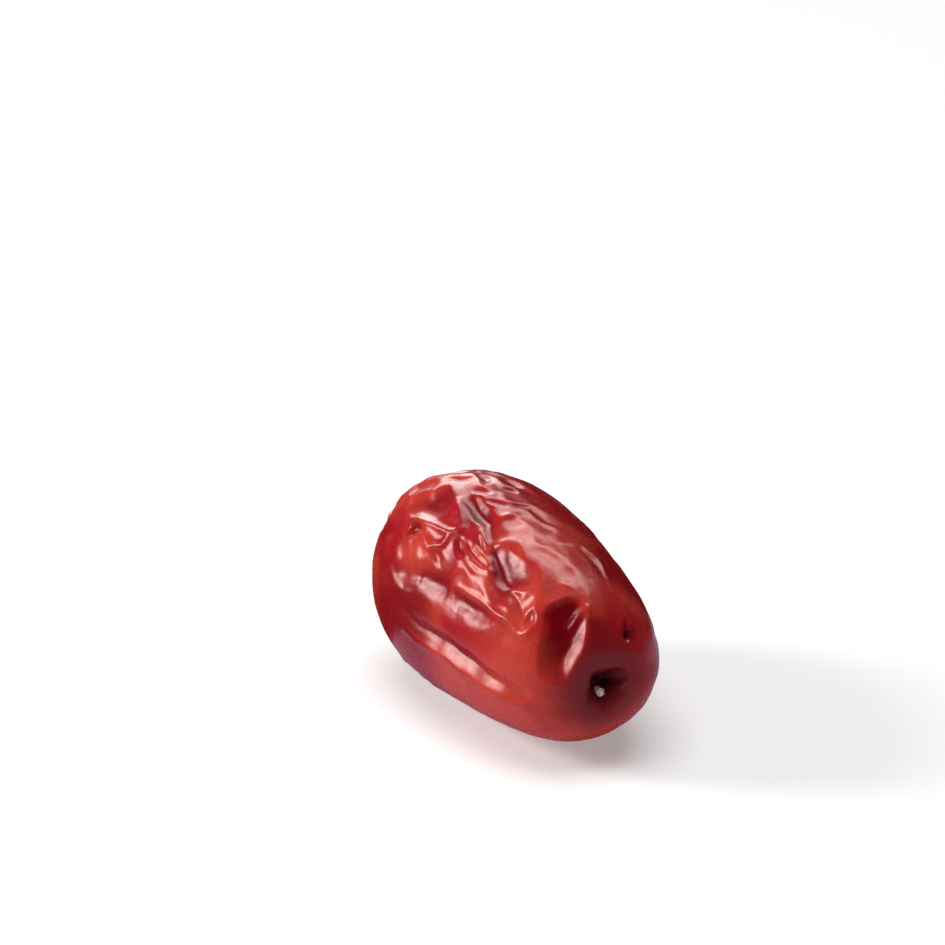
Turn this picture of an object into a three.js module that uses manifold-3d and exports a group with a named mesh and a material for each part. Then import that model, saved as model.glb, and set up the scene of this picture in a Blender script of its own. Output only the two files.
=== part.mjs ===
// A dried jujube lying on its side: one shrivelled oval fruit, with the dry stub of its stalk at one end.
// Millimetres, +Z up. The long axis runs along X with the stalk end at +X, and the fruit lies on Z = 0.
// A place on the skin is given as its distance from the stalk end, measured over the plump form, and its
// angle round the fruit in degrees, from the top (0) towards -Y (90).

import * as THREE from 'three';
import { mergeVertices } from 'three/addons/utils/BufferGeometryUtils.js';
import Module from 'manifold-3d';

const wasm = await Module();
wasm.setup();

// Plump form of the fruit, before it shrivelled
const FRUIT_LENGTH = 45;
const FRUIT_RADIUS = 13;
const STALK_END_TAPER = 0.22;
const STALK_END_SQUARENESS = 3.35;
const STYLE_END_SQUARENESS = 2.2;
const SQUARENESS_BLEND = 0.35;
const OVAL_SECTION = { share: 0.029, angle: 45 };
const THREE_SIDED_SECTION = { share: 0.031, angle: 18 };
const BOW_SIDEWAYS = -0.5;
const BOW_UPWARD = -0.4;
const STALK_END_DROP = 2;

// How the fruit lies: the depth that its own weight has flattened
const FLAT_SPOT_DEPTH = 0.6;

// Hollows that shape the skin: an oval bowl each, by its place, half length and half width, depth, and its
// turn in degrees from the long axis
const SKIN_HOLLOWS = [
  // the dent near the stalk end, two bowls that run into each other
  { at: [8.5, 35], half: [6, 2.8], depth: 1.9, turn: 63 },
  { at: [7.5, 39], half: [4.8, 2.4], depth: 1.75, turn: 60 },
  // the belly between the slope on the flank and the top
  { at: [28.4, 55], half: [3, 2.4], depth: 0.45, turn: 10 },
  { at: [24, 63], half: [8, 3], depth: 0.45, turn: -6 },
  { at: [14.8, 41], half: [2.2, 2.2], depth: 0.55, turn: 20 },
  { at: [19.4, 31], half: [4.2, 2], depth: 0.7, turn: -8 },
  { at: [12.6, 44], half: [1.4, 1], depth: 0.5, turn: 32 },
  // the facets of the far shoulder
  { at: [30.5, 20], half: [4, 1.3], depth: 0.85, turn: 10 },
  { at: [36, 49.5], half: [1.6, 1.4], depth: 0.75, turn: -20 },
  { at: [37.2, 34], half: [4.8, 2.8], depth: 0.75, turn: -20 },
  { at: [34.5, 66], half: [1.8, 1.3], depth: 0.4, turn: 10 },
  { at: [30.2, 53], half: [1.7, 0.8], depth: 0.5, turn: 40 },
  { at: [27.6, 42], half: [1.9, 1], depth: 0.6, turn: 20 },
  { at: [24.9, 33.5], half: [2.5, 0.7], depth: 0.5, turn: 21 },
  // the top and the far side of it
  { at: [38.5, 14], half: [2.2, 1], depth: 0.5, turn: -30 },
  { at: [36.5, 4], half: [1.8, 0.9], depth: 0.5, turn: -10 },
  { at: [33.8, 12], half: [1.6, 0.8], depth: 0.45, turn: -50 },
  { at: [32.8, 0], half: [2, 0.8], depth: 0.5, turn: -60 },
  { at: [30.6, 9], half: [1.8, 0.7], depth: 0.4, turn: -40 },
  { at: [29.2, 0], half: [2.2, 0.8], depth: 0.45, turn: -50 },
  { at: [35, -8], half: [2.4, 0.9], depth: 0.45, turn: -30 },
  { at: [26, 12], half: [1.6, 1.2], depth: 0.35, turn: -10 },
  { at: [26.5, -6], half: [2.6, 1], depth: 0.4, turn: -35 },
  { at: [22.3, 2], half: [3.4, 1.6], depth: 0.3, turn: -5 },
  { at: [17.3, -19.5], half: [3.6, 1], depth: 0.35, turn: -17 },
  // the slit near the stalk end and the deeper side of the stalk pit
  { at: [7.8, -32], half: [1.7, 0.6], depth: 0.7, turn: -11 },
  { at: [1.5, -60], half: [1.8, 1.5], depth: 1.4, turn: 0 },
];
const HOLLOW_ROUNDING = 0.08;
const HOLLOW_REACH = 6;

// Raised folds of the skin: the places that they run through, their height and half width
const SKIN_FOLDS = [
  // across the belly, forking above the dent
  {
    through: [[25.8, 58.5], [22, 56.5], [18, 55.5], [15, 55.5], [12.8, 57]],
    height: 0.3,
    halfWidth: 0.45,
  },
  { through: [[12.8, 57], [12.1, 53], [11.8, 47]], height: 0.24, halfWidth: 0.55 },
  // on the far shoulder
  { through: [[38.2, 46], [35.5, 42], [32.6, 40], [30.6, 38], [29.2, 34]], height: 0.42, halfWidth: 0.5 },
  { through: [[33.8, 47], [33.6, 53], [32.4, 60]], height: 0.4, halfWidth: 0.85 },
  { through: [[34.6, 22], [31.8, 28], [29.3, 34]], height: 0.45, halfWidth: 0.6 },
  { through: [[37.8, 70], [35.8, 75], [33.6, 78], [31.6, 76]], height: 0.32, halfWidth: 0.6 },
  { through: [[37.8, 56], [37.2, 62], [35.4, 68]], height: 0.26, halfWidth: 0.75 },
  // inside the dent near the stalk end
  { through: [[10.2, 4], [9.8, 10], [9.3, 16], [8.8, 23], [8.4, 30]], height: 0.5, halfWidth: 0.7 },
  // over the top
  { through: [[20.8, -4], [20.7, -18], [18.5, -26], [13.1, -23]], height: 0.18, halfWidth: 0.4 },
];

// Creases of the skin, by their depth in place of a height
const SKIN_CREASES = [
  // the broad valley across the belly, with a narrow one in it
  { through: [[24, 32], [20.5, 34.5], [16, 41]], height: 0.45, halfWidth: 1.9 },
  {
    through: [[31.6, 18], [28, 22], [23.5, 31], [20, 38], [16.5, 41], [13, 50]],
    height: 0.35,
    halfWidth: 0.7,
  },
  // above the slope on the flank
  { through: [[24.6, 67], [23.4, 63.5], [20.4, 61.5], [17.5, 60]], height: 0.36, halfWidth: 1.1 },
  { through: [[31.5, 66], [28.5, 63], [26, 62]], height: 0.48, halfWidth: 1.3 },
];
const LINE_END_SHARE = 0.2;

// The slope along the flank, between a crease above it and a fold below it: the places along its middle, the
// angle from there to each of the two, and their height and half width
const FLANK_SLOPE = [[34, 91], [30, 94], [25, 94], [20.5, 96], [17.5, 98], [13.5, 100.5], [10, 103]];
const FLANK_HALF_ANGLE = 5;
const FLANK_LINE = { height: 0.62, halfWidth: 0.75 };

// Smaller hollows over the rest of the skin, in staggered rows round the fruit
const WRINKLE_SEED = 20;
const WRINKLE_ROWS = 13;
const WRINKLE_FIRST_ROW = 6.5;
const WRINKLE_LAST_ROW = 55;
const WRINKLE_SPACING = 3.7;
const WRINKLE_JITTER = 0.7;
const WRINKLE_HALF_LENGTH = [2.2, 4.2];
const WRINKLE_HALF_WIDTH = [1.1, 2.0];
const WRINKLE_DEPTH = [0.35, 0.8];
const WRINKLE_TURN = [-40, 40];
const SMOOTH_END = [3, 15];

// Calmer patches of skin: their middle angle and half width, the distance where they end, and the share of
// wrinkles lost
const CALM_PATCHES = [
  { angle: 34, halfWidth: 46, upTo: 42, lost: 0.5 },
  { angle: 100, halfWidth: 32, upTo: 47, lost: 0.85 },
  { angle: -58, halfWidth: 48, upTo: 40, lost: 0.85 },
  { angle: 140, halfWidth: 60, upTo: 30, lost: 0.8 },
  { angle: 178, halfWidth: 26, upTo: 42, lost: 0.92 },
];
const PATCH_SOFT_ANGLE = 8;
const PATCH_SOFT_DISTANCE = 3;

// Long folds and creases over the other sides, drawn at random: each wanders along the fruit in a few steps
const DRAWN_SEED = 7;
const DRAWN_LINES = 56;
const DRAWN_FROM = [14, 52];
const DRAWN_SIDE = [118, 338];
const DRAWN_STEPS = 5;
const DRAWN_STEP = [1.3, 2.6];
const DRAWN_WANDER = 9;
const DRAWN_HEIGHT = [0.2, 0.5];
const DRAWN_HALF_WIDTH = [0.4, 0.8];

// Waves that make the outlines of hollows and folds uneven
const WARP_SEED = 11;
const WARP_WAVES = 9;
const WARP_LENGTH = [3, 8];
const WARP_PUSH = 0.22;
const FOLD_WARP_SHARE = 0.25;

// Stalk pit and its dish, and the dimple with the dried point of the style at the other end
const PIT_RADIUS = 1.9;
const PIT_DEPTH = 1.9;
const PIT_CREASES = 5;
const PIT_CREASE_SHARE = 0.09;
const DISH_RADIUS = 4.2;
const DISH_DEPTH = 0.45;
const STYLE_DIMPLE_RADIUS = 2.6;
const STYLE_DIMPLE_DEPTH = 0.7;
const STYLE_POINT_RADIUS = 0.7;
const STYLE_POINT_HEIGHT = 0.6;

// Dry stub of the stalk, loose by a hair in its socket, low in the pit
const STUB_PLACE = [0.85, 165];
const STUB_RADIUS = 0.55;
const STUB_LENGTH = 1.9;
const STUB_WAIST = 0.85;
const STUB_CHAMFER = 0.15;
const STUB_SIDES = 12;
const SOCKET_GAP = 0.25;
const SOCKET_DEPTH = 1.0;

// Fineness of the skin, the narrowest fold or hollow that it can show, and how far its tips are evened out
const SKIN_RINGS = 64;
const SKIN_COLUMNS = 91;
const RING_CROWDING = 0.07;
const MERIDIAN_DIVISIONS = 4000;
const SLOPE_STEP = 0.02;
const FINEST_HALF_WIDTH = 0.9;
const EVENING_SHARE = 0.5;

// Constants of the random draw, the common 32-bit linear congruential rule
const DRAW_FACTOR = 1664525;
const DRAW_STEP = 1013904223;
const DRAW_RANGE = 2 ** 32;

const TURN = 2 * Math.PI;
const radians = THREE.MathUtils.degToRad;

// Half outline of the plump form from the stalk end to the style end: x along the fruit, y its radius there
class Meridian extends THREE.Curve {
  getPoint(share, target = new THREE.Vector3()) {
    const turned = share * Math.PI;
    const cosine = Math.cos(turned);
    const blend = 0.5 * (1 + Math.tanh(cosine / SQUARENESS_BLEND));
    const power = 2 / THREE.MathUtils.lerp(STYLE_END_SQUARENESS, STALK_END_SQUARENESS, blend);
    const along = Math.sign(cosine) * Math.abs(cosine) ** power;
    const radius = FRUIT_RADIUS * Math.abs(Math.sin(turned)) ** power * (1 - STALK_END_TAPER * along);
    return target.set((FRUIT_LENGTH / 2) * along, radius, 0);
  }
}

const meridian = new Meridian();
meridian.arcLengthDivisions = MERIDIAN_DIVISIONS;
const MERIDIAN_LENGTH = meridian.getLength();

function sectionShare(angle) {
  const oval = OVAL_SECTION.share * Math.cos(2 * radians(angle - OVAL_SECTION.angle));
  const threeSided = THREE_SIDED_SECTION.share * Math.cos(3 * radians(angle - THREE_SIDED_SECTION.angle));
  return 1 + oval + threeSided;
}

// A point of the plump form, lying with its stalk end a little low
function formPoint(distance, angle) {
  const profile = meridian.getPointAt(THREE.MathUtils.clamp(distance / MERIDIAN_LENGTH, 0, 1));
  const along = profile.x / (FRUIT_LENGTH / 2);
  const radius = profile.y * sectionShare(angle);
  const sideways = -radius * Math.sin(radians(angle)) + BOW_SIDEWAYS * along * along;
  const upward = radius * Math.cos(radians(angle)) + BOW_UPWARD * along * along;
  const point = new THREE.Vector3(profile.x, sideways, upward);
  return point.applyAxisAngle(new THREE.Vector3(0, 1, 0), radians(STALK_END_DROP));
}

// The form's point with its directions there: towards the stalk, round the fruit, and straight out
function formFrame(distance, angle) {
  const point = formPoint(distance, angle);
  const towardsStalk = formPoint(distance - SLOPE_STEP, angle).sub(formPoint(distance + SLOPE_STEP, angle));
  const round = formPoint(distance, angle + 1).sub(formPoint(distance, angle - 1));
  towardsStalk.normalize();
  round.normalize();
  const out = new THREE.Vector3().crossVectors(round, towardsStalk).normalize();
  return { point, towardsStalk, round, out };
}

function randomDraws(seed) {
  let state = seed;
  return (low, high) => {
    state = (Math.imul(DRAW_FACTOR, state) + DRAW_STEP) >>> 0;
    return THREE.MathUtils.lerp(low, high, state / DRAW_RANGE);
  };
}

// How wrinkled the skin is, from 0 to 1: less towards the stalk end and on the calm patches
function wrinkleShare([distance, angle]) {
  let share = THREE.MathUtils.smoothstep(distance, ...SMOOTH_END);
  for (const patch of CALM_PATCHES) {
    const turned = Math.abs(THREE.MathUtils.euclideanModulo(angle - patch.angle + 180, 360) - 180);
    const [narrow, wide] = [patch.halfWidth - PATCH_SOFT_ANGLE, patch.halfWidth + PATCH_SOFT_ANGLE];
    const beside = THREE.MathUtils.smoothstep(turned, narrow, wide);
    const [near, far] = [patch.upTo - PATCH_SOFT_DISTANCE, patch.upTo + PATCH_SOFT_DISTANCE];
    const beyond = THREE.MathUtils.smoothstep(distance, near, far);
    share *= 1 - patch.lost * (1 - beside) * (1 - beyond);
  }
  return share;
}

function drawWrinkle(draw, row, column, columns) {
  const rowStep = (WRINKLE_LAST_ROW - WRINKLE_FIRST_ROW) / (WRINKLE_ROWS - 1);
  const jitter = WRINKLE_JITTER / 2;
  const distance = WRINKLE_FIRST_ROW + (row + draw(-jitter, jitter)) * rowStep;
  const angle = ((column + (row % 2) / 2 + draw(-jitter, jitter)) * 360) / columns;
  const half = [draw(...WRINKLE_HALF_LENGTH), draw(...WRINKLE_HALF_WIDTH)];
  const depth = draw(...WRINKLE_DEPTH) * wrinkleShare([distance, angle]);
  return { at: [distance, angle], half, depth, turn: draw(...WRINKLE_TURN) };
}

function wrinkleHollows() {
  const draw = randomDraws(WRINKLE_SEED);
  const hollows = [];
  for (let row = 0; row < WRINKLE_ROWS; row += 1) {
    const distance = THREE.MathUtils.lerp(WRINKLE_FIRST_ROW, WRINKLE_LAST_ROW, row / (WRINKLE_ROWS - 1));
    const girth = TURN * meridian.getPointAt(distance / MERIDIAN_LENGTH).y;
    const columns = Math.round(girth / WRINKLE_SPACING);
    for (let column = 0; column < columns; column += 1) {
      hollows.push(drawWrinkle(draw, row, column, columns));
    }
  }
  return hollows;
}

// One line that wanders along the fruit, as high as the skin there is wrinkled
function drawLine(draw) {
  let [distance, angle] = [draw(...DRAWN_FROM), draw(...DRAWN_SIDE)];
  const heading = draw(-1, 1) > 0 ? 1 : -1;
  const through = [[distance, angle]];
  for (let step = 0; step < DRAWN_STEPS; step += 1) {
    distance += heading * draw(...DRAWN_STEP);
    angle += draw(-DRAWN_WANDER, DRAWN_WANDER);
    through.push([Math.min(distance, DRAWN_FROM[1]), angle]);
  }
  const height = draw(...DRAWN_HEIGHT) * wrinkleShare(through[Math.floor(through.length / 2)]);
  return { through, height, halfWidth: draw(...DRAWN_HALF_WIDTH) };
}

function drawnLines() {
  const draw = randomDraws(DRAWN_SEED);
  return Array.from({ length: DRAWN_LINES }, () => drawLine(draw));
}

function randomDirection(draw) {
  return new THREE.Vector3(draw(-1, 1), draw(-1, 1), draw(-1, 1)).normalize();
}

function warpWaves() {
  const draw = randomDraws(WARP_SEED);
  return Array.from({ length: WARP_WAVES }, () => {
    const [wave, push] = [randomDirection(draw), randomDirection(draw)];
    return { wave: wave.multiplyScalar(TURN / draw(...WARP_LENGTH)), push, phase: draw(0, TURN) };
  });
}

const WAVES = warpWaves();

// A point pushed about by a few slow waves, so that outlines drawn with it come out uneven
function warped(point) {
  const moved = point.clone();
  for (const { wave, push, phase } of WAVES) {
    moved.addScaledVector(push, WARP_PUSH * Math.sin(point.dot(wave) + phase));
  }
  return moved;
}

// A fold or crease as the straight stretches between its places
function placedLine({ through, height, halfWidth }) {
  const knots = through.map((at) => formPoint(...at));
  const stretches = knots.slice(1).map((knot, index) => new THREE.Line3(knots[index], knot));
  const length = stretches.reduce((total, stretch) => total + stretch.distance(), 0);
  return { stretches, length, height, halfWidth: Math.max(halfWidth, FINEST_HALF_WIDTH) };
}

// The crease (-1) or the fold (1) beside the slope along the flank
function besideFlank(side) {
  const through = FLANK_SLOPE.map(([distance, angle]) => [distance, angle + side * FLANK_HALF_ANGLE]);
  return { through, ...FLANK_LINE };
}

const DRAWN = drawnLines();
const DRAWN_FOLDS = DRAWN.filter((line, index) => index % 2 === 0);
const DRAWN_CREASES = DRAWN.filter((line, index) => index % 2 === 1);
const FOLDS = [...SKIN_FOLDS, besideFlank(1), ...DRAWN_FOLDS].map(placedLine);
const CREASES = [...SKIN_CREASES, besideFlank(-1), ...DRAWN_CREASES].map(placedLine);

// The rise of a fold at a point: rounded across, and fading out at both ends
function lineRise(point, line) {
  const closest = new THREE.Vector3();
  let [nearest, share, before] = [Infinity, 0, 0];
  for (const stretch of line.stretches) {
    const part = stretch.closestPointToPointParameter(point, true);
    const away = stretch.at(part, closest).distanceTo(point);
    if (away < nearest) {
      nearest = away;
      share = (before + part * stretch.distance()) / line.length;
    }
    before += stretch.distance();
  }
  const fade = THREE.MathUtils.lerp(LINE_END_SHARE, 1, Math.sqrt(Math.max(4 * share * (1 - share), 0)));
  return line.height * fade * bell(nearest, line.halfWidth);
}

function totalRise(point, lines) {
  return lines.reduce((total, line) => total + lineRise(point, line), 0);
}

// A bowl with its own directions along, across and out of the skin, each divided by its half size
function placedBowl({ at, half, depth, turn }) {
  const frame = formFrame(...at);
  const along = frame.towardsStalk.clone().applyAxisAngle(frame.out, -radians(turn));
  const across = new THREE.Vector3().crossVectors(frame.out, along);
  const [length, width] = half.map((size) => Math.max(size, FINEST_HALF_WIDTH));
  return {
    centre: frame.point,
    axes: [along.divideScalar(length), across.divideScalar(width), frame.out.divideScalar(HOLLOW_REACH)],
    depth,
  };
}

const BOWLS = [...SKIN_HOLLOWS, ...wrinkleHollows()].map(placedBowl);

// The deepest bowl wins at each point, with rounded crests between them
function hollowDepth(point) {
  let sum = 1;
  for (const bowl of BOWLS) {
    const offset = point.clone().sub(bowl.centre);
    const away = bowl.axes.reduce((total, axis) => total + offset.dot(axis) ** 2, 0);
    sum += Math.exp((bowl.depth * (1 - away)) / HOLLOW_ROUNDING);
  }
  return HOLLOW_ROUNDING * Math.log(sum);
}

function bell(distance, radius) {
  return Math.exp(-((distance / radius) ** 2));
}

function endDepth(distance, angle) {
  const creased = distance * (1 + PIT_CREASE_SHARE * Math.cos(PIT_CREASES * radians(angle)));
  const pit = PIT_DEPTH * bell(creased, PIT_RADIUS) + DISH_DEPTH * bell(distance, DISH_RADIUS);
  const fromStyle = MERIDIAN_LENGTH - distance;
  const dimple = STYLE_DIMPLE_DEPTH * bell(fromStyle, STYLE_DIMPLE_RADIUS);
  return pit + dimple - STYLE_POINT_HEIGHT * bell(fromStyle, STYLE_POINT_RADIUS);
}

function skinPoint(distance, angle, out) {
  const point = formPoint(distance, angle);
  const pushed = warped(point);
  const traced = point.clone().lerp(pushed, FOLD_WARP_SHARE);
  const folds = totalRise(traced, FOLDS) - totalRise(traced, CREASES);
  return point.addScaledVector(out, folds - hollowDepth(pushed) - endDepth(distance, angle));
}

function ringDistance(ring) {
  const share = ring / SKIN_RINGS;
  return MERIDIAN_LENGTH * (share - RING_CROWDING * Math.sin(TURN * share));
}

const STALK_AXIS = formPoint(0, 0).sub(formPoint(MERIDIAN_LENGTH, 0)).normalize();

// All skin points: the stalk end, the rings, and the style end
function skinPoints() {
  const points = [skinPoint(0, 0, STALK_AXIS)];
  for (let ring = 1; ring < SKIN_RINGS; ring += 1) {
    const distance = ringDistance(ring);
    for (let column = 0; column < SKIN_COLUMNS; column += 1) {
      const angle = (column * 360) / SKIN_COLUMNS;
      points.push(skinPoint(distance, angle, formFrame(distance, angle).out));
    }
  }
  points.push(skinPoint(MERIDIAN_LENGTH, 0, STALK_AXIS.clone().negate()));
  return points;
}

// Where a skin point stands in the list: ring 0 is the stalk end, and the last ring is the style end
function pointIndex(ring, column) {
  if (ring === 0) return 0;
  if (ring === SKIN_RINGS) return 1 + (SKIN_RINGS - 1) * SKIN_COLUMNS;
  return 1 + (ring - 1) * SKIN_COLUMNS + THREE.MathUtils.euclideanModulo(column, SKIN_COLUMNS);
}

// Moves each point of the rings part of the way to the mean of its neighbours, which rounds sharp tips
function evenedOut(points) {
  const evened = [...points];
  for (let ring = 1; ring < SKIN_RINGS; ring += 1) {
    for (let column = 0; column < SKIN_COLUMNS; column += 1) {
      const sides = [[ring - 1, column], [ring + 1, column], [ring, column - 1], [ring, column + 1]];
      const mean = new THREE.Vector3();
      for (const side of sides) mean.addScaledVector(points[pointIndex(...side)], 1 / sides.length);
      const index = pointIndex(ring, column);
      evened[index] = points[index].clone().lerp(mean, EVENING_SHARE);
    }
  }
  return evened;
}

// The fruit's weight presses its lowest skin into one flat spot
function flattenUnderside(points) {
  const lowest = Math.min(...points.map((point) => point.z));
  for (const point of points) point.z = Math.max(point.z, lowest + FLAT_SPOT_DEPTH);
}

// Two triangles between neighbouring rings and columns, and one where they meet the stalk or the style end
function skinTriangles() {
  const triangles = [];
  for (let ring = 0; ring < SKIN_RINGS; ring += 1) {
    for (let column = 0; column < SKIN_COLUMNS; column += 1) {
      const [a, b] = [pointIndex(ring, column), pointIndex(ring, column + 1)];
      const [c, d] = [pointIndex(ring + 1, column), pointIndex(ring + 1, column + 1)];
      if (a !== b) triangles.push(a, d, b);
      if (c !== d) triangles.push(a, c, d);
    }
  }
  return triangles;
}

function skinGeometry() {
  const points = evenedOut(skinPoints());
  flattenUnderside(points);
  const geometry = new THREE.BufferGeometry().setFromPoints(points);
  return geometry.setIndex(skinTriangles());
}

function solidFrom(geometry) {
  geometry.deleteAttribute('normal');
  geometry.deleteAttribute('uv');
  const merged = mergeVertices(geometry);
  const vertProperties = new Float32Array(merged.attributes.position.array);
  const triVerts = new Uint32Array(merged.index.array);
  return new wasm.Manifold(new wasm.Mesh({ numProp: 3, vertProperties, triVerts }));
}

function geometryFrom(solid) {
  const mesh = solid.getMesh();
  const geometry = new THREE.BufferGeometry();
  geometry.setAttribute('position', new THREE.BufferAttribute(mesh.vertProperties, 3));
  geometry.setIndex(new THREE.BufferAttribute(mesh.triVerts, 1));
  geometry.computeVertexNormals();
  return geometry;
}

const PIT_FLOOR = skinPoint(...STUB_PLACE, STALK_AXIS);
const STALK_TURN = new THREE.Quaternion().setFromUnitVectors(new THREE.Vector3(0, 1, 0), STALK_AXIS);

// A plain round hole in the floor of the pit, cut long enough to open into it
function socketGeometry() {
  const radius = STUB_RADIUS + SOCKET_GAP;
  const length = SOCKET_DEPTH + PIT_DEPTH;
  const geometry = new THREE.CylinderGeometry(radius, radius, length, STUB_SIDES);
  geometry.translate(0, length / 2 - SOCKET_DEPTH, 0);
  geometry.applyQuaternion(STALK_TURN);
  return geometry.translate(...PIT_FLOOR.toArray());
}

function makeFruit() {
  const solid = solidFrom(skinGeometry()).subtract(solidFrom(socketGeometry()));
  const material = new THREE.MeshStandardMaterial({ color: 0x8a1a1c, roughness: 0.38, metalness: 0 });
  const fruit = new THREE.Mesh(geometryFrom(solid), material);
  fruit.name = 'fruit';
  return fruit;
}

// The stub narrows above its foot and flares again at the scar where it broke off
function makeStalkStub() {
  const waist = STUB_RADIUS * STUB_WAIST;
  const profile = [
    [0, 0],
    [STUB_RADIUS - STUB_CHAMFER, 0],
    [STUB_RADIUS, STUB_CHAMFER],
    [waist, STUB_LENGTH / 2],
    [STUB_RADIUS, STUB_LENGTH - STUB_CHAMFER],
    [STUB_RADIUS - STUB_CHAMFER, STUB_LENGTH],
    [0, STUB_LENGTH - STUB_CHAMFER],
  ].map(([radius, height]) => new THREE.Vector2(radius, height));
  const material = new THREE.MeshStandardMaterial({ color: 0xa06c62, roughness: 0.8, metalness: 0 });
  const stub = new THREE.Mesh(new THREE.LatheGeometry(profile, STUB_SIDES), material);
  stub.name = 'stalk_stub';
  stub.quaternion.copy(STALK_TURN);
  stub.position.copy(PIT_FLOOR).addScaledVector(STALK_AXIS, SOCKET_GAP - SOCKET_DEPTH);
  return stub;
}

// Sets the origin under the middle of the fruit, on the surface that it lies on
const jujube = new THREE.Group();
jujube.add(makeFruit(), makeStalkStub());
const box = new THREE.Box3().setFromObject(jujube, true);
const middle = box.getCenter(new THREE.Vector3());
jujube.position.set(-middle.x, -middle.y, -box.min.z);
jujube.updateMatrixWorld(true);

export default jujube;
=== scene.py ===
"""A dried jujube lying on its side on a pale floor: the shrivelled fruit and the dry stub of its stalk.

A place on the skin is written as its distance from the stalk end in millimetres, measured over the plump
form, and its angle round the fruit in degrees, from the top (0) towards -Y (90).
"""

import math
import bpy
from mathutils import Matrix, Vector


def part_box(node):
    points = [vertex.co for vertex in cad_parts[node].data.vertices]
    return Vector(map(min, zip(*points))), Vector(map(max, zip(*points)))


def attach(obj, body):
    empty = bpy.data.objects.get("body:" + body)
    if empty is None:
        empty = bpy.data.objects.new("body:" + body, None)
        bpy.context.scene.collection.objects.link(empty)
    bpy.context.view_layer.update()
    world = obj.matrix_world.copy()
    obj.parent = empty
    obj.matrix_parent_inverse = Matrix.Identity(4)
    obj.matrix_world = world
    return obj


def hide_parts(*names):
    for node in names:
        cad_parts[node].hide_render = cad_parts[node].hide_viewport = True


bl_info = {
    "name": "Dried jujube",
    "version": (1, 0, 0),
    "blender": (4, 5, 0),
    "location": "View3D > Sidebar > Jujube",
    "description": "Builds a dried jujube with its wrinkled skin, its stalk stub and a plain studio stage",
    "category": "Add Mesh",
}

import bpy
import numpy as np
from mathutils import Vector

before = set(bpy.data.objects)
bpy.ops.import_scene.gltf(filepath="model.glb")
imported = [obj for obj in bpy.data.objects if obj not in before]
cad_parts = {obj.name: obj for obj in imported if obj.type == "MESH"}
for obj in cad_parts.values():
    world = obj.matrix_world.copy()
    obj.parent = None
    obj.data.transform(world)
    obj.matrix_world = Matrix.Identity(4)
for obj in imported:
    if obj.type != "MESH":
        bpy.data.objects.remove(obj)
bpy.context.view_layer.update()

MM = 0.001

# Plump form of the fruit, before it shrivelled, in millimetres and degrees
FRUIT_LENGTH = 45.0
FRUIT_RADIUS = 13.0
STALK_END_TAPER = 0.22
STALK_END_SQUARENESS = 3.35
STYLE_END_SQUARENESS = 2.2
SQUARENESS_BLEND = 0.35
OVAL_SHARE, OVAL_ANGLE = 0.029, 45.0
THREE_SIDED_SHARE, THREE_SIDED_ANGLE = 0.031, 18.0
BOW_SIDEWAYS, BOW_UPWARD = -0.5, -0.4
STALK_END_DROP = 2.0
FLAT_SPOT_DEPTH = 0.6

# Hollows of the skin: place, half length and half width, depth, and turn in degrees from the long axis
HOLLOWS = [
    # the dent near the stalk end, two bowls with a crest between them
    ((8.5, 35), (6.0, 2.8), 1.9, 63),
    ((7.5, 39), (4.8, 2.4), 1.75, 60),
    # the belly between the slope on the flank and the top
    ((28.4, 55), (3.0, 2.4), 0.45, 10),
    ((24, 63), (8.0, 3.0), 0.45, -6),
    ((14.8, 41), (2.2, 2.2), 0.55, 20),
    ((19.4, 31), (4.2, 2.0), 0.7, -8),
    ((12.6, 44), (1.4, 1.0), 0.5, 32),
    # the facets of the far shoulder
    ((30.5, 20), (4.0, 1.3), 0.85, 10),
    ((36, 49.5), (1.6, 1.4), 0.75, -20),
    ((37.2, 34), (4.8, 2.8), 0.75, -20),
    ((34.5, 66), (1.8, 1.3), 0.4, 10),
    ((30.2, 53), (1.7, 0.8), 0.5, 40),
    ((27.6, 42), (1.9, 1.0), 0.6, 20),
    ((24.9, 33.5), (2.5, 0.7), 0.5, 21),
    # the top and the far side of it
    ((38.5, 14), (2.2, 1.0), 0.5, -30),
    ((36.5, 4), (1.8, 0.9), 0.5, -10),
    ((33.8, 12), (1.6, 0.8), 0.45, -50),
    ((32.8, 0), (2.0, 0.8), 0.5, -60),
    ((30.6, 9), (1.8, 0.7), 0.4, -40),
    ((29.2, 0), (2.2, 0.8), 0.45, -50),
    ((35, -8), (2.4, 0.9), 0.45, -30),
    ((26, 12), (1.6, 1.2), 0.35, -10),
    ((26.5, -6), (2.6, 1.0), 0.4, -35),
    ((22.3, 2), (3.4, 1.6), 0.3, -5),
    ((17.3, -19.5), (3.6, 1.0), 0.35, -17),
    # the slit and the creased dish at the stalk end
    ((7.8, -32), (1.7, 0.6), 0.7, -11),
    ((1.5, -60), (1.8, 1.5), 1.4, 0),
]
HOLLOW_ROUNDING = 0.06
HOLLOW_REACH = 6.0

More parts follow.
